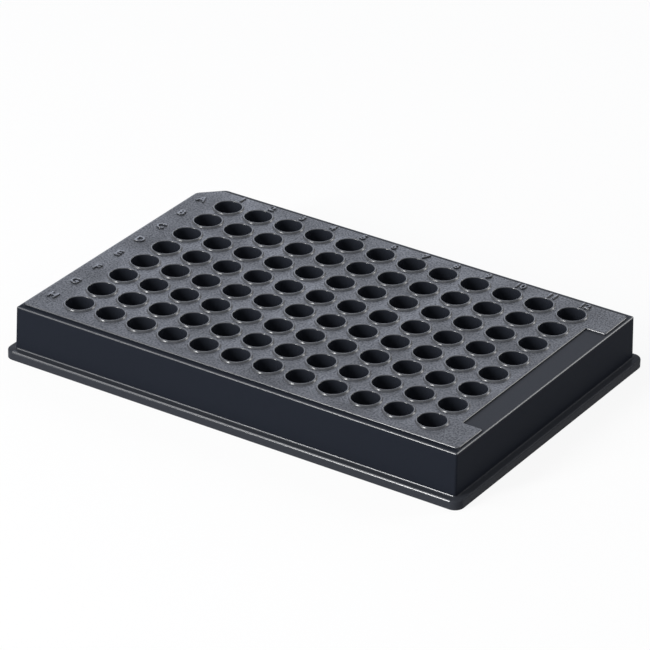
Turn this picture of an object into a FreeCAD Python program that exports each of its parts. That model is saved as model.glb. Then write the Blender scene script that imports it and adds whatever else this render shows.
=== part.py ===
"""A 96-well microplate, moulded in one piece of black polystyrene.

Millimetres. The origin is the middle of the footprint on the bench, +X runs along the rows from
column 1 to column 12, +Y from row H to row A, and +Z up. Well A1 is at the -X +Y corner, which is
the one corner of the wall that is cut off, so that a plate can't be read the wrong way round.
"""

import FreeCAD, Part
import math
import os

from FreeCAD import Vector

# Footprint flange that stands on the bench
FOOT_LENGTH = 127.76
FOOT_WIDTH = 85.48
FOOT_CORNER = 2.5
FLANGE_HEIGHT = 2.41
FLANGE_EDGE = 0.5
FLANGE_WEB = 1.4
FLANGE_LEDGE = 1.92

# Side wall, which leans in a little so that the moulding leaves its tool
WALL_LEAN = 0.31
WALL_THICKNESS = 1.5
WALL_CORNER = 1.0
WALL_EDGE = 0.3
CUT_CORNER = 5.9

# Heights, measured down from the rims of the wells
RIM_HEIGHT = 14.35
DECK_DROP = 0.4
LEDGE_DROP = 0.85
DECK_THICKNESS = 1.35

# Ledge round the deck, where a lid sits
LEDGE_LONG_SIDE = 1.7
LEDGE_SHORT_SIDE = 0.75

# Label recess, open at the deck's column 12 edge
RECESS_REACH = 5.35
RECESS_WIDTH = 56.1

# Well array
COLUMNS = 12
ROWS = 8
PITCH = 9.0
MOUTH_RADIUS = 3.43
FLOOR_RADIUS = 3.18
WELL_DEPTH = 10.9
RIM_FOOT_RADIUS = 3.93
TUBE_WALL = 0.77
TUBE_FLOOR = 1.2

# Flats that stand for each round wall, few because there are 96 of everything
WELL_FLAT_COUNT = 16
TUBE_FLAT_COUNT = 10

# How far one form is sunk into the next where they join, or a cutter stands proud
OVERLAP = 0.25

LEDGE_HEIGHT = RIM_HEIGHT - LEDGE_DROP
DECK_HEIGHT = RIM_HEIGHT - DECK_DROP
CEILING_HEIGHT = DECK_HEIGHT - DECK_THICKNESS
WELL_FLOOR = RIM_HEIGHT - WELL_DEPTH
TUBE_END = WELL_FLOOR - TUBE_FLOOR
WELL_LEAN = (MOUTH_RADIUS - FLOOR_RADIUS) / WELL_DEPTH


def block(low, high):
    """Solid of flat faces between two anticlockwise rings with the same number of corners."""
    sides = [[low[i - 1], low[i], high[i], high[i - 1]] for i in range(len(low))]
    faces = [Part.Face(Part.makePolygon(ring + ring[:1])) for ring in [low[::-1], high] + sides]
    return Part.makeSolid(Part.makeShell(faces))


def rounded_block(low, high, radius):
    """The same with its upright edges rounded."""
    solid = block(low, high)
    uprights = [e for e in solid.Edges if e.Vertexes[0].Z != e.Vertexes[-1].Z]
    return solid.makeFillet(radius, uprights)


def top_edges(solid):
    """Edges round the top face of the solid."""
    top = max(v.Z for v in solid.Vertexes)
    return [e for e in solid.Edges if all(math.isclose(v.Z, top) for v in e.Vertexes)]


def rectangle(half_x, half_y, z, cut=0.0):
    """Corners of a rectangle, anticlockwise, with the A1 corner cut off by `cut`."""
    cut_corner = [Vector(cut - half_x, half_y, z), Vector(-half_x, half_y - cut, z)]
    whole_corner = [Vector(-half_x, half_y, z)]
    start = [Vector(-half_x, -half_y, z), Vector(half_x, -half_y, z), Vector(half_x, half_y, z)]
    return start + (cut_corner if cut else whole_corner)


def wall_corners(inset, z):
    """Corners of the side wall's outer face at one height, or of a face that far inside it."""
    lean = WALL_LEAN * (z - FLANGE_HEIGHT) / (LEDGE_HEIGHT - FLANGE_HEIGHT)
    half_x = FOOT_LENGTH / 2 - FLANGE_LEDGE - lean - inset
    half_y = FOOT_WIDTH / 2 - FLANGE_LEDGE - lean - inset
    return rectangle(half_x, half_y, z, CUT_CORNER - inset * (2 - math.sqrt(2)))


def flange():
    """Footprint flange with its rounded upper edge."""
    half_x, half_y = FOOT_LENGTH / 2, FOOT_WIDTH / 2
    low, high = rectangle(half_x, half_y, 0), rectangle(half_x, half_y, FLANGE_HEIGHT)
    solid = rounded_block(low, high, FOOT_CORNER)
    return solid.makeFillet(FLANGE_EDGE, top_edges(solid))


def wall_block():
    """Side wall up to the ledge that a lid sits on, still solid inside."""
    low, high = wall_corners(0, 0), wall_corners(0, LEDGE_HEIGHT)
    solid = rounded_block(low, high, WALL_CORNER)
    return solid.makeChamfer(WALL_EDGE, top_edges(solid))


def raised_deck():
    """Deck that stands above the ledge, open to the column 12 edge at the label recess."""
    half_x = FOOT_LENGTH / 2 - FLANGE_LEDGE - WALL_LEAN - LEDGE_SHORT_SIDE
    half_y = FOOT_WIDTH / 2 - FLANGE_LEDGE - WALL_LEAN - LEDGE_LONG_SIDE
    cut = CUT_CORNER - (LEDGE_SHORT_SIDE + LEDGE_LONG_SIDE) / 2
    low, high = (rectangle(half_x, half_y, z, cut) for z in (CEILING_HEIGHT, DECK_HEIGHT))
    recess = Part.makeBox(
        RECESS_REACH + OVERLAP, RECESS_WIDTH, LEDGE_DROP - DECK_DROP + OVERLAP,
        Vector(half_x - RECESS_REACH, -RECESS_WIDTH / 2, LEDGE_HEIGHT),
    )
    return rounded_block(low, high, WALL_CORNER).cut(recess)


def hollow():
    """Space under the deck, stepped outwards inside the flange."""
    above = block(wall_corners(WALL_THICKNESS, 0), wall_corners(WALL_THICKNESS, CEILING_HEIGHT))
    half_x, half_y = FOOT_LENGTH / 2 - WALL_THICKNESS, FOOT_WIDTH / 2 - WALL_THICKNESS
    low, high = (rectangle(half_x, half_y, z) for z in (0, FLANGE_HEIGHT - FLANGE_WEB))
    return above.fuse(rounded_block(low, high, FOOT_CORNER - WALL_THICKNESS))


def ring_of_flats(flats, radius, z):
    """Corners of a ring whose flats touch a circle, with one flat facing +X."""
    corner_radius = radius / math.cos(math.pi / flats)
    turns = [(i + 0.5) * 2 * math.pi / flats for i in range(flats)]
    return [Vector(corner_radius * math.cos(a), corner_radius * math.sin(a), z) for a in turns]


def well_bore():
    """Inside of one well, from its flat floor to just past its mouth."""
    low = ring_of_flats(WELL_FLAT_COUNT, FLOOR_RADIUS, WELL_FLOOR)
    past_mouth = MOUTH_RADIUS + WELL_LEAN * OVERLAP
    return block(low, ring_of_flats(WELL_FLAT_COUNT, past_mouth, RIM_HEIGHT + OVERLAP))


def well_rim():
    """Raised rim round one well's mouth, its foot sunk into the deck."""
    slope = (RIM_FOOT_RADIUS - MOUTH_RADIUS) / DECK_DROP
    sunk = ring_of_flats(WELL_FLAT_COUNT, RIM_FOOT_RADIUS + slope * OVERLAP, DECK_HEIGHT - OVERLAP)
    return block(sunk, ring_of_flats(WELL_FLAT_COUNT, MOUTH_RADIUS, RIM_HEIGHT))


def well_tube():
    """Outside of one well, hanging under the deck and closed below."""
    outer = MOUTH_RADIUS + TUBE_WALL
    top = CEILING_HEIGHT + OVERLAP
    low = ring_of_flats(TUBE_FLAT_COUNT, outer - WELL_LEAN * (RIM_HEIGHT - TUBE_END), TUBE_END)
    return block(low, ring_of_flats(TUBE_FLAT_COUNT, outer - WELL_LEAN * (RIM_HEIGHT - top), top))


def at_every_well(solid):
    """One copy of the solid at each well, row by row from A1."""
    places = [
        Vector((column - (COLUMNS - 1) / 2) * PITCH, ((ROWS - 1) / 2 - row) * PITCH, 0)
        for row in range(ROWS)
        for column in range(COLUMNS)
    ]
    return [solid.translated(place) for place in places]


def microplate():
    """The whole moulding as one solid."""
    shell = flange().fuse([wall_block(), raised_deck()]).cut(hollow())
    with_wells = shell.fuse(at_every_well(well_tube()) + at_every_well(well_rim()))
    return with_wells.cut(at_every_well(well_bore())).removeSplitter()


os.makedirs("parts", exist_ok=True)
plate = microplate()
plate.exportStep("parts/microplate.step")
print("microplate:", len(plate.Solids), "solid, valid", plate.isValid(), "- mm3:", round(plate.Volume))
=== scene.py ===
# %% [markdown]
# A black 96-well microplate, shown as a product photograph
#
# The real plate is one injection moulding of black polystyrene. This lesson rebuilds its visible skin
# with the tools a modeller uses by hand: start from a flat outline, raise it with insets, and weld the
# skins together with flat fills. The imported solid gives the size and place, and nothing is resized.

# %% The frame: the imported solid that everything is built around
import math

import bmesh
import bpy
from mathutils import Matrix, Vector


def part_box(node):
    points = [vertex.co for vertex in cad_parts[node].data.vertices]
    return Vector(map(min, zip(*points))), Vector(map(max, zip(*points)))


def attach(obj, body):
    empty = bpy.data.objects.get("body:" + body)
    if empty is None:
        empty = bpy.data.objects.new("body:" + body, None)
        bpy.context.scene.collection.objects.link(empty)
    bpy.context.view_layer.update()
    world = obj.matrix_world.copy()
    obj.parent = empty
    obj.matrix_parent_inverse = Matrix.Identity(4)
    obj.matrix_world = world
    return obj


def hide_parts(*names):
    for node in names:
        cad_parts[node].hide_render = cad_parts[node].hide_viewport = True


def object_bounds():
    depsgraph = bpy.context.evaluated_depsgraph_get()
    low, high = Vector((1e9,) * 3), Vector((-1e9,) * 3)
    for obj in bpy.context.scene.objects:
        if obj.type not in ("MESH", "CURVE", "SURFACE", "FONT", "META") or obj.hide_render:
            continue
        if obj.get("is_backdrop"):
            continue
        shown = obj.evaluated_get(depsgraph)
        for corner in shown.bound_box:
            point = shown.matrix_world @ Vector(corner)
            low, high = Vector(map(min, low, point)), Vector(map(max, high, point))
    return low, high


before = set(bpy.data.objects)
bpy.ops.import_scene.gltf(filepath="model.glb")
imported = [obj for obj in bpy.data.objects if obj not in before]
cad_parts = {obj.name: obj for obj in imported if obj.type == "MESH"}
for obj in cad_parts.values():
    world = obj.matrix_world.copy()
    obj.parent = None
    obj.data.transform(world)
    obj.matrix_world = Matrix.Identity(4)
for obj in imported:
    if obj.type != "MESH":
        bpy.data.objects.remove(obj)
cad_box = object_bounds()
low_corner, high_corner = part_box("microplate")
print("solid to dress:", [round(1000 * size, 2) for size in high_corner - low_corner], "mm")

# %% [markdown]
# Sizes
#
# Length, width and height come from the frame. The rest are the sizes of the moulding, written in
# millimetres and turned to metres by one factor. The three slacks say how near counts as the same height,
# the same point, and a joined seam.

# %% Sizes of the plate
MM = 0.001
HALF_LENGTH, HALF_WIDTH, RIM_HEIGHT = high_corner
LEVEL_SLACK = 0.001 * MM
WELD_SLACK = 0.002 * MM
SEAM_SLACK = 0.01 * MM

FOOT_CORNER = 2.5 * MM
FLANGE_HEIGHT = 2.41 * MM
FLANGE_LEDGE = 1.92 * MM
FLANGE_EDGE = 0.5 * MM
FLANGE_WEB = 1.4 * MM
WALL_LEAN = 0.31 * MM
WALL_THICKNESS = 1.5 * MM
WALL_CORNER = 1.0 * MM
WALL_EDGE = 0.3 * MM
CUT_CORNER = 5.9 * MM
DECK_HEIGHT = RIM_HEIGHT - 0.4 * MM
LEDGE_HEIGHT = RIM_HEIGHT - 0.85 * MM
CEILING_HEIGHT = DECK_HEIGHT - 1.35 * MM
LEDGE_LONG_SIDE = 1.7 * MM
LEDGE_SHORT_SIDE = 0.75 * MM
DECK_EDGE = 0.25 * MM
RECESS_REACH = 5.35 * MM
RECESS_HALF = 28.05 * MM
RECESS_CORNER = 0.4 * MM

COLUMNS, ROWS = 12, 8
PITCH = 9.0 * MM
MOUTH_RADIUS = 3.43 * MM
WELL_DRAFT = 0.25 * MM
WELL_DEPTH = 10.9 * MM
TUBE_WALL = 0.77 * MM
TUBE_FLOOR = 1.2 * MM
SOFT = 0.1 * MM
print("deck at", round(DECK_HEIGHT / MM, 2), "mm and ledge at", round(LEDGE_HEIGHT / MM, 2), "mm")

# %% [markdown]
# Picking by place
#
# By hand, an edge or a face is clicked. In code it is found by where it is. Everything is deselected
# first, because an operator acts on all that is selected, and the loaded solid comes in selected.

# %% Helpers to work on one piece and to pick its parts
def take(*pieces):
    """Leaves edit mode and makes these the only pieces selected, with the last one active."""
    if bpy.context.object and bpy.context.object.mode == "EDIT":
        bpy.ops.object.mode_set(mode="OBJECT")
    bpy.ops.object.select_all(action="DESELECT")
    for piece in pieces:
        piece.select_set(True)
        bpy.context.view_layer.objects.active = piece


def edit(piece):
    """Opens the piece in edit mode with nothing in it selected."""
    take(piece)
    bpy.ops.object.mode_set(mode="EDIT")
    bpy.ops.mesh.select_all(action="DESELECT")


def pick(piece, kind, test):
    """Selects the vertices, edges or faces that pass the test, and returns how many there are."""
    bpy.ops.mesh.select_mode(type=kind)
    bpy.ops.mesh.select_all(action="DESELECT")
    form = bmesh.from_edit_mesh(piece.data)
    parts = {"VERT": form.verts, "EDGE": form.edges, "FACE": form.faces}[kind]
    found = [part for part in parts if test(part)]
    for part in found:
        part.select_set(True)
    bmesh.update_edit_mesh(piece.data)
    return len(found)


def level(part, z):
    """Whether every corner of an edge or face lies at one height."""
    return all(abs(v.co.z - z) < LEVEL_SLACK for v in part.verts)


# %% [markdown]
# A cap that climbs
#
# Every form on this plate is an outline that runs along a profile: the skirt, the rims, the wells.
# Insetting a cap face and raising it a little, again and again, walks the outline along the profile,
# as a lathe does for a round part, but it works for any outline. A bend is a short run of such steps.

# %% Helpers to climb a profile
def bend(radius, start, end, steps=4):
    """Steps (inwards, up) round an arc between two headings in degrees: 0 is inwards, 90 is up."""
    side = 1 if end > start else -1
    headings = [math.radians(start + (end - start) * i / steps) for i in range(steps + 1)]
    return [
        (side * radius * (math.sin(b) - math.sin(a)), side * radius * (math.cos(a) - math.cos(b)))
        for a, b in zip(headings, headings[1:])
    ]


def climb(moves):
    """Walks the selected cap along the moves, leaving walls behind it."""
    for inwards, up in moves:
        if inwards > 0:
            bpy.ops.mesh.inset(thickness=inwards, depth=up)
        else:
            bpy.ops.mesh.extrude_region_move(TRANSFORM_OT_translate={"value": (0, 0, up)})


# %% [markdown]
# Outlines
#
# Each skin of the plate starts as a plane of its size. A vertex bevel with one segment cuts the A1
# corner off, and one with many segments rounds a corner.

# %% Helpers to draw a plate outline
CORNER_STEPS = 6
RECESS_STEPS = 4


def rectangle(name, half_x, half_y, z, cut=0.0):
    """A flat face in edit mode, with its A1 corner cut off where `cut` is given."""
    take()
    bpy.ops.mesh.primitive_plane_add(size=2, location=(0, 0, z))
    piece = bpy.context.object
    piece.name = name
    bpy.ops.object.transform_apply(location=True)
    edit(piece)
    bpy.ops.mesh.select_all(action="SELECT")
    bpy.ops.transform.resize(value=(half_x, half_y, 1), center_override=(0, 0, z))
    if cut:
        pick(piece, "VERT", lambda v: v.co.x < 0 < v.co.y)
        bpy.ops.mesh.bevel(affect="VERTICES", offset=cut, segments=1)
    return piece


def round_corners(piece, radius, test=lambda v: True):
    """Rounds the corners that pass the test, and leaves the face selected."""
    pick(piece, "VERT", test)
    bpy.ops.mesh.bevel(affect="VERTICES", offset=radius, segments=CORNER_STEPS)
    pick(piece, "FACE", lambda f: True)


# %% [markdown]
# The skirt
#
# The flange is what a plate nest grips, so it stands square to the bench, with a rounded upper edge.
# The wall above leans in a little, so that the moulding leaves its tool. A small fillet joins its foot
# to the flange, and its top edge is rounded too.

# %% Outer skins: flange and side wall
FOOT_FILLET = 0.3 * MM
wall_half_x = HALF_LENGTH - FLANGE_LEDGE
wall_half_y = HALF_WIDTH - FLANGE_LEDGE
wall_rise = LEDGE_HEIGHT - FLANGE_HEIGHT - FOOT_FILLET - WALL_EDGE

flange = rectangle("flange", HALF_LENGTH - SOFT, HALF_WIDTH - SOFT, 0)
round_corners(flange, FOOT_CORNER - SOFT)
bpy.ops.mesh.extrude_region_move(TRANSFORM_OT_translate={"value": (0, 0, SOFT)})
bpy.ops.transform.resize(
    value=(1 + SOFT / HALF_LENGTH, 1 + SOFT / HALF_WIDTH, 1), center_override=(0, 0, SOFT)
)
climb([(0, FLANGE_HEIGHT - SOFT - FLANGE_EDGE)] + bend(FLANGE_EDGE, 90, 0, 5))

wall = rectangle(
    "wall", wall_half_x + FOOT_FILLET, wall_half_y + FOOT_FILLET, FLANGE_HEIGHT, CUT_CORNER
)
round_corners(wall, WALL_CORNER)
climb(bend(FOOT_FILLET, 0, 90, 3) + [(WALL_LEAN, wall_rise)] + bend(WALL_EDGE, 90, 0, 4))
print("flange and wall raised")

# %% [markdown]
# The deck
#
# The deck stands a little above a ledge, where a lid's skirt sits. At the column 12 end a long recess is
# open to the edge. It is cut out of the flat outline by bisecting, before the outline is raised, so that
# its floor is simply part of the ledge. A limited dissolve then takes out the cuts that the recess
# doesn't need, and leaves only the corners of the outline.

# %% Deck skin with the recess cut out of it
deck_half_x = wall_half_x - WALL_LEAN - LEDGE_SHORT_SIDE
deck_half_y = wall_half_y - WALL_LEAN - LEDGE_LONG_SIDE
deck_cut = CUT_CORNER - (LEDGE_LONG_SIDE + LEDGE_SHORT_SIDE) / 2
recess_x = deck_half_x - RECESS_REACH

deck = rectangle("deck", deck_half_x, deck_half_y, LEDGE_HEIGHT, deck_cut)
for place, normal in [
    ((recess_x, 0, 0), (1, 0, 0)),
    ((0, RECESS_HALF, 0), (0, 1, 0)),
    ((0, -RECESS_HALF, 0), (0, 1, 0)),
]:
    bpy.ops.mesh.select_all(action="SELECT")
    bpy.ops.mesh.bisect(plane_co=place, plane_no=normal)
pick(
    deck, "FACE",
    lambda f: f.calc_center_median().x > recess_x and abs(f.calc_center_median().y) < RECESS_HALF,
)
bpy.ops.mesh.delete(type="FACE")
bpy.ops.mesh.select_all(action="SELECT")
bpy.ops.mesh.dissolve_limited(angle_limit=math.radians(1))
print("deck outline:", pick(deck, "VERT", lambda v: True), "corners")
pick(deck, "VERT", lambda v: abs(v.co.y) < RECESS_HALF + MM)
bpy.ops.mesh.bevel(affect="VERTICES", offset=RECESS_CORNER, segments=RECESS_STEPS)
round_corners(deck, WALL_CORNER, lambda v: abs(v.co.y) > RECESS_HALF + MM)
climb([(0, DECK_HEIGHT - LEDGE_HEIGHT - DECK_EDGE)] + bend(DECK_EDGE, 90, 0, 3))
print("deck raised, recess from x =", round(recess_x / MM, 2), "mm")

# %% [markdown]
# The hollow underneath
#
# The plate is a shell about 1.5 mm thick. The inner skins repeat the outer ones that far inside, with a
# step over the flange.

# %% Inner skins: the step inside the flange and the hollow under the deck
step_height = FLANGE_HEIGHT - FLANGE_WEB
step = rectangle("step", HALF_LENGTH - WALL_THICKNESS, HALF_WIDTH - WALL_THICKNESS, 0)
round_corners(step, FOOT_CORNER - WALL_THICKNESS)
climb([(0, step_height - SOFT)] + bend(SOFT, 90, 0, 2))

inner_cut = CUT_CORNER - WALL_THICKNESS * (2 - math.sqrt(2))
hollow = rectangle(
    "hollow", wall_half_x - WALL_THICKNESS, wall_half_y - WALL_THICKNESS, step_height, inner_cut
)
round_corners(hollow, WALL_CORNER)
climb([(WALL_LEAN, CEILING_HEIGHT - step_height - WALL_EDGE)] + bend(WALL_EDGE, 90, 0, 3))
print("inner skins raised")

# %% [markdown]
# One well
#
# A well is a disc whose cap climbs: up the outside of the rim, over its flat land, down the bore and
# out over the floor. Its tube is a second disc, level with the ceiling, that climbs down. Both sit in a
# square of one pitch, so that copies of the square join edge to edge.

# %% One well in its square
WELL_POINTS = 32
TUBE_POINTS = 24
RIM_SLOPE = 62
RIM_FILLET = 0.08 * MM
RIM_ROUND = 0.26 * MM
MOUTH_ROUND = 0.2 * MM
FLOOR_FILLET = 0.4 * MM
TUBE_FILLET = 0.25 * MM


def disc(name, points, radius, z):
    """A square of one pitch with a round face in it, which is left selected in edit mode."""
    take()
    bpy.ops.mesh.primitive_plane_add(size=PITCH, location=(0, 0, z))
    piece = bpy.context.object
    piece.name = name
    bpy.ops.object.transform_apply(location=True)
    edit(piece)
    bpy.ops.mesh.select_all(action="SELECT")
    bpy.ops.mesh.delete(type="ONLY_FACE")
    bpy.ops.mesh.primitive_circle_add(vertices=points, radius=radius, location=(0, 0, z))
    bpy.ops.mesh.select_all(action="SELECT")
    bpy.ops.mesh.fill()
    pick(piece, "EDGE", lambda e: all(v.co.xy.length < 1.01 * radius for v in e.verts))
    bpy.ops.mesh.edge_face_add()
    pick(piece, "FACE", lambda f: f.normal.z < 0)
    bpy.ops.mesh.flip_normals()
    print(name, "cap:", pick(piece, "FACE", lambda f: len(f.verts) == points))
    return piece


rim_foot = bend(RIM_FILLET, 0, RIM_SLOPE, 2)
rim_shoulder = bend(RIM_ROUND, RIM_SLOPE, 0, 4)
slope_rise = RIM_HEIGHT - DECK_HEIGHT - sum(up for inwards, up in rim_foot + rim_shoulder)
slope_run = slope_rise / math.tan(math.radians(RIM_SLOPE))
rim_width = slope_run + sum(inwards for inwards, up in rim_foot + rim_shoulder)
bore_drop = WELL_DEPTH - MOUTH_ROUND - FLOOR_FILLET

well = disc("well", WELL_POINTS, MOUTH_RADIUS + MOUTH_ROUND + rim_width, DECK_HEIGHT)
climb(
    rim_foot + [(slope_run, slope_rise)] + rim_shoulder
    + bend(MOUTH_ROUND, 0, -90, 4) + [(WELL_DRAFT, -bore_drop)] + bend(FLOOR_FILLET, -90, 0, 3)
)

tube_radius = MOUTH_RADIUS + TUBE_WALL
tube_end = RIM_HEIGHT - WELL_DEPTH - TUBE_FLOOR
tube_drop = CEILING_HEIGHT - tube_end - 2 * TUBE_FILLET
tube = disc("tube", TUBE_POINTS, tube_radius + TUBE_FILLET, CEILING_HEIGHT)
climb(bend(TUBE_FILLET, 0, -90, 3) + [(WELL_DRAFT, -tube_drop)] + bend(TUBE_FILLET, -90, 0, 3))
print("rim's foot radius:", round((MOUTH_RADIUS + MOUTH_ROUND + rim_width) / MM, 2), "mm")

# %% [markdown]
# Ninety-six wells
#
# Array modifiers copy the square along the columns and then along the rows. Merging joins the shared
# edges, so the copies become one sheet with a plain rectangular border.

# %% Wells and tubes in a grid of 12 by 8
for piece in (well, tube):
    for axis, count in (("x", COLUMNS), ("y", ROWS)):
        take(piece)
        copies = piece.modifiers.new("repeat", "ARRAY")
        copies.count = count
        copies.use_relative_offset = False
        copies.use_constant_offset = True
        copies.constant_offset_displace = (PITCH if axis == "x" else 0, PITCH if axis == "y" else 0, 0)
        copies.use_merge_vertices = True
        copies.merge_threshold = SEAM_SLACK
        bpy.ops.object.modifier_apply(modifier=copies.name)
    piece.location = (-(COLUMNS - 1) * PITCH / 2, -(ROWS - 1) * PITCH / 2, 0)
    bpy.ops.object.transform_apply(location=True)
print("grid:", COLUMNS * ROWS, "wells")

# %% [markdown]
# Welding the skins
#
# Each skin still has its climbing cap or its first face. Those go, and at every level where two skins
# meet, a fill closes the flat ring between their edges. The result is one closed shell, as the moulding
# is. The print at the end counts the edges that aren't shared by exactly two faces, which must be none.

# %% One closed shell
for piece in (flange, wall, deck, step, hollow):
    edit(piece)
    pick(piece, "FACE", lambda f: len(f.verts) > 4)
    bpy.ops.mesh.delete(type="FACE")

take(flange, wall, deck, step, hollow, tube, well)
bpy.ops.object.join()
plate = bpy.context.object
plate.name = "plate_moulding"
plate.data.materials.clear()
edit(plate)
for z in (0, step_height, FLANGE_HEIGHT, CEILING_HEIGHT, LEDGE_HEIGHT, DECK_HEIGHT):
    open_edges = pick(plate, "EDGE", lambda e: e.is_boundary and level(e, z))
    bpy.ops.mesh.fill()
    print("filled at", round(z / MM, 2), "mm between", open_edges, "edges")
bpy.ops.mesh.select_all(action="SELECT")
bpy.ops.mesh.remove_doubles(threshold=WELD_SLACK)
bpy.ops.mesh.normals_make_consistent(inside=False)
print("open edges left:", pick(plate, "EDGE", lambda e: not e.is_manifold))

# %% [markdown]
# Row and column labels
#
# The tool also carries the well coordinates: A to H along the left end and 1 to 12 along the far side,
# as low polished characters. They are text objects with a little thickness and a rounded edge, turned
# into meshes, and set slightly into the deck so that no gap shows under them. The bevel and the offset
# swell the strokes, because the moulded ones are bolder than the typeface.

# %% Raised coordinates
LABEL_RAISE = 0.34 * MM
LABEL_EDGE = 0.14 * MM
LABEL_SWELL = 0.12 * MM
LABEL_SINK = 0.05 * MM
LETTER_HEIGHT = 3.4 * MM
NUMBER_HEIGHT = 3.0 * MM
LETTER_X = -57.4 * MM
NUMBER_Y = 37.15 * MM
NUMBER_SHIFT = 0.5 * MM


def raised_text(words, size, x, y):
    """A word standing a little above the deck, centred on x and y, as a mesh."""
    take()
    bpy.ops.object.text_add(location=(x, y, DECK_HEIGHT + (LABEL_RAISE - LABEL_SINK) / 2))
    label = bpy.context.object
    label.name = "label_" + words
    label.data.body = words
    label.data.size = size
    label.data.align_x = label.data.align_y = "CENTER"
    label.data.extrude = (LABEL_RAISE + LABEL_SINK) / 2 - LABEL_EDGE
    label.data.bevel_depth = LABEL_EDGE
    label.data.bevel_resolution = 1
    label.data.offset = LABEL_SWELL - LABEL_EDGE
    label.data.resolution_u = 4
    bpy.ops.object.convert(target="MESH")
    bpy.ops.object.transform_apply(location=True)
    edit(label)
    bpy.ops.mesh.select_all(action="SELECT")
    bpy.ops.mesh.remove_doubles(threshold=WELD_SLACK)
    bpy.ops.mesh.normals_make_consistent(inside=False)
    return label


mid_row, mid_column = (ROWS - 1) / 2, (COLUMNS - 1) / 2
labels = [
    raised_text("ABCDEFGH"[row], LETTER_HEIGHT, LETTER_X, (mid_row - row) * PITCH)
    for row in range(ROWS)
] + [
    raised_text(
        str(column + 1), NUMBER_HEIGHT, (column - mid_column) * PITCH + NUMBER_SHIFT, NUMBER_Y
    )
    for column in range(COLUMNS)
]
label_top = max(v.co.z for v in labels[0].data.vertices)
print("labels:", len(labels), "with the first one's top at", round(label_top / MM, 2), "mm")

# %% [markdown]
# Nodes and colours
#
# A material is a small network of nodes. One function adds a node with its settings and links, and one
# turns a colour as it is read from a colour picker into the linear values that the shader expects.

# %% Helpers for materials
def linear(code):
    """A colour picker's hex code as linear red, green and blue with alpha 1."""
    parts = [int(code[i:i + 2], 16) / 255 for i in (1, 3, 5)]
    return [c / 12.92 if c <= 0.04045 else ((c + 0.055) / 1.055) ** 2.4 for c in parts] + [1.0]


def add_node(tree, kind, inputs=None, **settings):
    """Adds a node. Each input is a value, or the output socket of another node to link from."""
    node = tree.nodes.new(kind)
    for name, value in settings.items():
        setattr(node, name, value)
    for name, value in (inputs or {}).items():
        if isinstance(value, bpy.types.NodeSocket):
            tree.links.new(value, node.inputs[name])
        else:
            node.inputs[name].default_value = value
    return node


def new_material(name):
    """An empty material and its node tree."""
    material = bpy.data.materials.new(name)
    material.use_nodes = True
    material.node_tree.nodes.clear()
    return material, material.node_tree


# %% [markdown]
# Black polystyrene
#
# Black crystal polystyrene is glossy by itself, and the tool decides the rest. The wells, the labels and
# the edges come from polished steel, so they mirror the lamps, softened by faint flow marks. The rims'
# steel is turned, which leaves them silky. The flat deck comes from spark-eroded steel, whose fine grain
# spreads the reflection into an even grey.

# %% Polished black polystyrene
# Flow marks are slow waves of the surface, far wider than they are high.
PLASTIC_BLACK = "#25282F"
POLYSTYRENE_IOR = 1.59
POLISHED_ROUGHNESS = 0.2
FLOW_WIDTH = 9 * MM
FLOW_HEIGHT = 0.06 * MM
FLOW_STRENGTH = 0.25

polished, tree = new_material("moulded polystyrene, polished tool")
place = add_node(tree, "ShaderNodeTexCoord").outputs["Object"]
flow = add_node(tree, "ShaderNodeTexNoise", {"Vector": place, "Scale": 1 / FLOW_WIDTH, "Detail": 3.0})
marks = add_node(tree, "ShaderNodeBump", {
    "Height": flow.outputs["Fac"], "Strength": FLOW_STRENGTH, "Distance": FLOW_HEIGHT,
})
skin = add_node(tree, "ShaderNodeBsdfPrincipled", {
    "Base Color": linear(PLASTIC_BLACK), "Roughness": POLISHED_ROUGHNESS, "IOR": POLYSTYRENE_IOR,
    "Normal": marks.outputs["Normal"],
})
add_node(tree, "ShaderNodeOutputMaterial", {"Surface": skin.outputs["BSDF"]})
print("made", polished.name)

# %% Black polystyrene with painted shade, with a painted sheen, and silky
# The walls and the near side's ledge get painted shade: a darker copy of the plastic that mirrors little,
# so that they look dark instead of showing the white room. The flange and the ledge get a painted sheen:
# a paler copy that mirrors little, whose colour stands in for the grey reflection on them, and the
# flange's ends stay free of highlights. An IOR just over 1 tells the shader that a surface mirrors
# little. The rims keep the plastic's own IOR and are only a little rougher than the wells, so a lamp
# shows on them as a soft crescent.
SHADE_PAINTED_BLACK, SHADE_PAINTED_ROUGHNESS, SHADE_PAINTED_IOR = "#1E2128", 0.4, 1.06
SHEEN_PAINTED_BLACK, SHEEN_PAINTED_ROUGHNESS, SHEEN_PAINTED_IOR = "#313338", 0.3, 1.08
TURNED_ROUGHNESS = 0.25


def plain_finish(name, colour, roughness, ior):
    """Black polystyrene with nothing but a colour and a gloss of its own."""
    material, tree = new_material(name)
    skin = add_node(tree, "ShaderNodeBsdfPrincipled", {
        "Base Color": linear(colour), "Roughness": roughness, "IOR": ior,
    })
    add_node(tree, "ShaderNodeOutputMaterial", {"Surface": skin.outputs["BSDF"]})
    print("made", name)
    return material


painted_shade_finish = plain_finish("moulded polystyrene, painted shade", SHADE_PAINTED_BLACK, SHADE_PAINTED_ROUGHNESS, SHADE_PAINTED_IOR)
painted_sheen_finish = plain_finish("moulded polystyrene, painted sheen", SHEEN_PAINTED_BLACK, SHEEN_PAINTED_ROUGHNESS, SHEEN_PAINTED_IOR)
silky = plain_finish(
    "moulded polystyrene, turned rim", PLASTIC_BLACK, TURNED_ROUGHNESS, POLYSTYRENE_IOR
)

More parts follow.
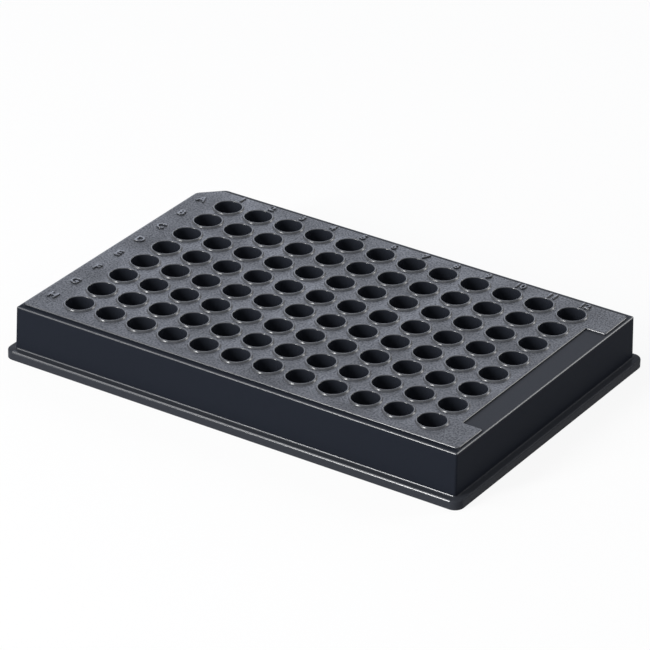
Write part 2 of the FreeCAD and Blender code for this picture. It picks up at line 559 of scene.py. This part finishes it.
# %% Grained black polystyrene
# The real grain is about 0.05 mm across. It is drawn at 0.45 mm, the finest that still shows. It raises
# the surface, and its pits are less glossy than its tops. The roughness drifts from place to place as the
# tool wears, and the left and near margins of the deck are a little rougher than the middle.
GRAIN_WIDTH = 0.45 * MM
GRAIN_HEIGHT = 0.08 * MM
PIT_GLOSS, TOP_GLOSS = 0.12, 0.84
WEAR_WIDTH = 14 * MM
WEAR_LEAST, WEAR_MOST = 0.35, 0.54
MARGIN_X, MARGIN_Y = -53 * MM, -35 * MM
MARGIN_BLEND = 0.8 * MM
MARGIN_ROUGHNESS = 0.08

grained, tree = new_material("moulded polystyrene, eroded tool")
place = add_node(tree, "ShaderNodeTexCoord").outputs["Object"]
grain = add_node(tree, "ShaderNodeTexNoise", {"Vector": place, "Scale": 1 / GRAIN_WIDTH, "Detail": 3.0})
bumps = add_node(tree, "ShaderNodeBump", {
    "Height": grain.outputs["Fac"], "Strength": 1.0, "Distance": GRAIN_HEIGHT,
})
cloud = add_node(tree, "ShaderNodeTexNoise", {"Vector": place, "Scale": 1 / WEAR_WIDTH, "Detail": 5.0})
wear = add_node(tree, "ShaderNodeMapRange", {
    "Value": cloud.outputs["Fac"], "From Min": 0.35, "From Max": 0.65,
    "To Min": WEAR_LEAST, "To Max": WEAR_MOST,
})
spot = add_node(tree, "ShaderNodeSeparateXYZ", {"Vector": place})
left = add_node(tree, "ShaderNodeMapRange", {
    "Value": spot.outputs["X"], "To Min": MARGIN_ROUGHNESS, "To Max": 0.0,
    "From Min": MARGIN_X - MARGIN_BLEND, "From Max": MARGIN_X + MARGIN_BLEND,
})
near = add_node(tree, "ShaderNodeMapRange", {
    "Value": spot.outputs["Y"], "To Min": MARGIN_ROUGHNESS, "To Max": 0.0,
    "From Min": MARGIN_Y - MARGIN_BLEND, "From Max": MARGIN_Y + MARGIN_BLEND,
})
margin = add_node(
    tree, "ShaderNodeMath", {0: left.outputs["Result"], 1: near.outputs["Result"]}, operation="MAXIMUM"
)
rough = add_node(
    tree, "ShaderNodeMath", {0: wear.outputs["Result"], 1: margin.outputs[0]}, operation="ADD"
)
pits = add_node(tree, "ShaderNodeMapRange", {
    "Value": grain.outputs["Fac"], "From Min": 0.38, "From Max": 0.62,
    "To Min": PIT_GLOSS, "To Max": TOP_GLOSS,
})
skin = add_node(tree, "ShaderNodeBsdfPrincipled", {
    "Base Color": linear(PLASTIC_BLACK), "Roughness": rough.outputs[0], "IOR": POLYSTYRENE_IOR,
    "Specular IOR Level": pits.outputs["Result"], "Normal": bumps.outputs["Normal"],
})
add_node(tree, "ShaderNodeOutputMaterial", {"Surface": skin.outputs["BSDF"]})
print("made", grained.name)

# %% [markdown]
# Where each finish goes
#
# The labels join the shell, and everything starts polished. Four tests then pick the faces of the other
# finishes by their place: the flat deck is grained, the flange and the ledge get the painted sheen, the
# walls get the painted shade, and the rims are silky. The near side's ledge gets the walls' painted shade
# as well, so that it looks dark. It is filled in one go with the rest of the ledge, so it is cut free
# along its length first.

# %% Tests that pick the faces of each finish
# The first three say how much of a face's normal points up: nearly all on a flat face, little on a wall
# that leans, and none on the flange.
FLAT = 0.99
STEEP = 0.1
UPRIGHT = 0.01
GRID_LEFT = -54 * MM
GRID_FAR = 36 * MM
FLANGE_END = 1.0 * MM
foot_top = FLANGE_HEIGHT + FOOT_FILLET + SOFT


def on_deck(f):
    """Whether a face is flat on the deck."""
    return f.normal.z > FLAT and level(f, DECK_HEIGHT)


def on_painted_sheen(f):
    """Whether a face gets the painted sheen: the flange's upright face, one of its ends, or flat on the
    flange or ledge.
    """
    top = max(v.co.z for v in f.verts)
    upright = abs(f.normal.z) < UPRIGHT and top < FLANGE_HEIGHT
    # The flange's short ends take the painted sheen so that their rounded edges stay dark: painted shade
    # where a lamp would draw a line.
    end = abs(f.calc_center_median().x) > wall_half_x - FLANGE_END and top < foot_top
    return upright or end or level(f, FLANGE_HEIGHT) or level(f, LEDGE_HEIGHT)


def on_painted_shade(f):
    """Whether a face gets the painted shade: an upright face of the side wall or the hollow, or the near
    side's ledge.
    """
    place = f.calc_center_median()
    outside = place.y - place.x > deck_half_x + deck_half_y - deck_cut
    outside = outside or abs(place.x) > deck_half_x or abs(place.y) > deck_half_y
    # The near side's ledge gets painted shade, so that it looks as dark as the wall under it.
    shaded_near_ledge = level(f, LEDGE_HEIGHT) and place.y < -deck_half_y
    return shaded_near_ledge or (outside and abs(f.normal.z) < STEEP and place.z > FLANGE_HEIGHT)


def on_rim(f):
    """Whether a face is on a well's raised rim, down to where the bore starts."""
    place = f.calc_center_median()
    return place.z > DECK_HEIGHT + SEAM_SLACK and place.x > GRID_LEFT and place.y < GRID_FAR


print("flange's foot fillet ends at", round(foot_top / MM, 2), "mm")

# %% [markdown]
# One moulding
#
# Shading is smooth except over sharp angles. Weighted normals keep the large flat faces flat right up to
# their rounded edges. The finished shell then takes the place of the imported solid.

# %% The finished moulding on its body
SHARP_ANGLE = math.radians(38)

take(*labels, plate)
bpy.ops.object.join()
for finish in (polished, grained, painted_sheen_finish, painted_shade_finish, silky):
    plate.data.materials.append(finish)
edit(plate)
pick(plate, "FACE", lambda f: level(f, LEDGE_HEIGHT))
bpy.ops.mesh.bisect(plane_co=(0, -deck_half_y - SOFT, 0), plane_no=(0, 1, 0))
for number, test in enumerate((on_deck, on_painted_sheen, on_painted_shade, on_rim), 1):
    found = pick(plate, "FACE", test)
    plate.active_material_index = number
    bpy.ops.object.material_slot_assign()
    print(plate.data.materials[number].name, "on", found, "faces")

take(plate)
bpy.ops.object.shade_smooth_by_angle(angle=SHARP_ANGLE)
weighting = plate.modifiers.new("weighted normals", "WEIGHTED_NORMAL")
weighting.keep_sharp = True
bpy.ops.object.modifier_apply(modifier=weighting.name)
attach(plate, "root")
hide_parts("microplate")
plate.data.calc_loop_triangles()
print("moulding:", len(plate.data.loop_triangles), "triangles")

# %% [markdown]
# The table
#
# The plate lies on a white sweep in a white room. Both look white to the camera and in reflections, but
# light the plate only a little, so that it keeps its own colour. A share of plain paper is kept in the
# sweep, which shows the soft shadow that the plate drops on it. The sweep lies a hair under the plate's
# foot, because two faces at one height flicker.

# %% Rays that see the background
def sees_background(tree):
    """1 for a ray from the camera, off gloss or through glass, and 0 for one that carries light."""
    ray = add_node(tree, "ShaderNodeLightPath").outputs
    seen = add_node(
        tree, "ShaderNodeMath", {0: ray["Is Camera Ray"], 1: ray["Is Glossy Ray"]}, operation="MAXIMUM"
    )
    return add_node(
        tree, "ShaderNodeMath", {0: seen.outputs[0], 1: ray["Is Transmission Ray"]}, operation="MAXIMUM"
    ).outputs[0]


# %% White table and white room
WHITE, PAPER_WHITE, ROOM_WHITE = "#FFFFFF", "#F2F2F2", "#E8ECF2"
GLOW_SHARE = 0.88
ROOM_FILL = 0.16
SWEEP_SIZE = 6
PAPER_GAP = 0.02 * MM

table, tree = new_material("white paper sweep")
share = add_node(
    tree, "ShaderNodeMath", {0: sees_background(tree), 1: GLOW_SHARE}, operation="MULTIPLY"
)
paper = add_node(tree, "ShaderNodeBsdfDiffuse", {"Color": linear(PAPER_WHITE)})
glow = add_node(tree, "ShaderNodeEmission", {"Color": linear(WHITE), "Strength": 1.0})
mix = add_node(tree, "ShaderNodeMixShader", {
    "Fac": share.outputs[0], 1: paper.outputs[0], 2: glow.outputs[0],
})
add_node(tree, "ShaderNodeOutputMaterial", {"Surface": mix.outputs[0]})

take()
bpy.ops.mesh.primitive_plane_add(size=SWEEP_SIZE, location=(0, 0, -PAPER_GAP))
sweep = bpy.context.object
sweep.name = "sweep"
sweep.data.materials.append(table)
sweep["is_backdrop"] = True

world = bpy.data.worlds.new("white room")
bpy.context.scene.world = world
world.use_nodes = True
tree = world.node_tree
tree.nodes.clear()
fill = add_node(tree, "ShaderNodeBackground", {"Color": linear(ROOM_WHITE), "Strength": ROOM_FILL})
white = add_node(tree, "ShaderNodeBackground", {"Color": linear(WHITE), "Strength": 1.0})
mix = add_node(tree, "ShaderNodeMixShader", {
    "Fac": sees_background(tree), 1: fill.outputs[0], 2: white.outputs[0],
})
add_node(tree, "ShaderNodeOutputWorld", {"Surface": mix.outputs[0]})
print("table and room are white")

# %% [markdown]
# Light
#
# Black gloss shows little but its reflections, so each softbox is there for one of them. The one in
# front on the left and the one behind on the right give each rim its two bright ends, and the overhead
# one joins them. The low one in front is narrow, so the lines that it draws along the front edges are
# brightest near the front corner. A large dim panel behind the plate is what the deck mirrors, so it
# lifts the deck above the walls.

# %% Softboxes
def softbox(name, place, width, height, radiance, tint=WHITE):
    """An area lamp turned towards the plate. Radiance 1 looks white when seen directly."""
    take()
    turn = (-Vector(place)).to_track_quat("-Z", "Y").to_euler()
    bpy.ops.object.light_add(type="AREA", location=place, rotation=turn)
    lamp = bpy.context.object
    lamp.name = name
    lamp.data.shape = "RECTANGLE"
    lamp.data.size = width
    lamp.data.size_y = height
    lamp.data.energy = radiance * math.pi * width * height
    lamp.data.color = linear(tint)[:3]
    print(name, "set")


PANEL_BLUE = "#D9E4FF"
softbox("front left softbox", (-0.52, -0.42, 0.72), 0.42, 0.5, 4.0)
softbox("overhead softbox", (0.15, -0.2, 0.97), 0.5, 0.5, 3.2)
softbox("low front softbox", (-0.42, -1.07, 0.41), 0.2, 0.7, 34.0)
softbox("back right softbox", (0.5, 0.74, 0.38), 0.3, 0.7, 4.6)
softbox("back panel", (-0.75, 0.9, 0.5), 0.75, 0.75, 1.6, PANEL_BLUE)

# %% [markdown]
# The camera
#
# A long lens far from the plate gives the flat perspective of a catalogue picture. The three directions
# are the camera's right, up and back, as worked out from the wells and corners in the picture. The film
# and the lens are in millimetres, as in any camera.

# %% Camera
CAMERA_PLACE = (0.48819, -0.76681, 0.49339)
CAMERA_RIGHT = (0.83769, 0.54580, 0.01969)
CAMERA_UP = (-0.27098, 0.38407, 0.88265)
CAMERA_BACK = (0.47418, -0.74472, 0.46963)
FILM_WIDTH = 36
LENS = 238.51

take()
turn = Matrix((CAMERA_RIGHT, CAMERA_UP, CAMERA_BACK)).transposed().to_euler()
bpy.ops.object.camera_add(location=CAMERA_PLACE, rotation=turn)
camera = bpy.context.object
camera.data.sensor_width = FILM_WIDTH
camera.data.lens = LENS
bpy.context.scene.camera = camera
bpy.context.scene.view_settings.view_transform = "Standard"
print("camera", round(camera.location.length, 3), "m from the plate")

# %% [markdown]
# The sizes at the end
#
# The dressed plate must fill the same box as the imported solid, so both boxes are printed.

# %% Sizes and the end
dressed_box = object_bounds()
for name, box in (("packed", cad_box), ("dressed", dressed_box)):
    print(name, "size:", [round((high - low) / MM, 2) for low, high in zip(*box)], "mm")
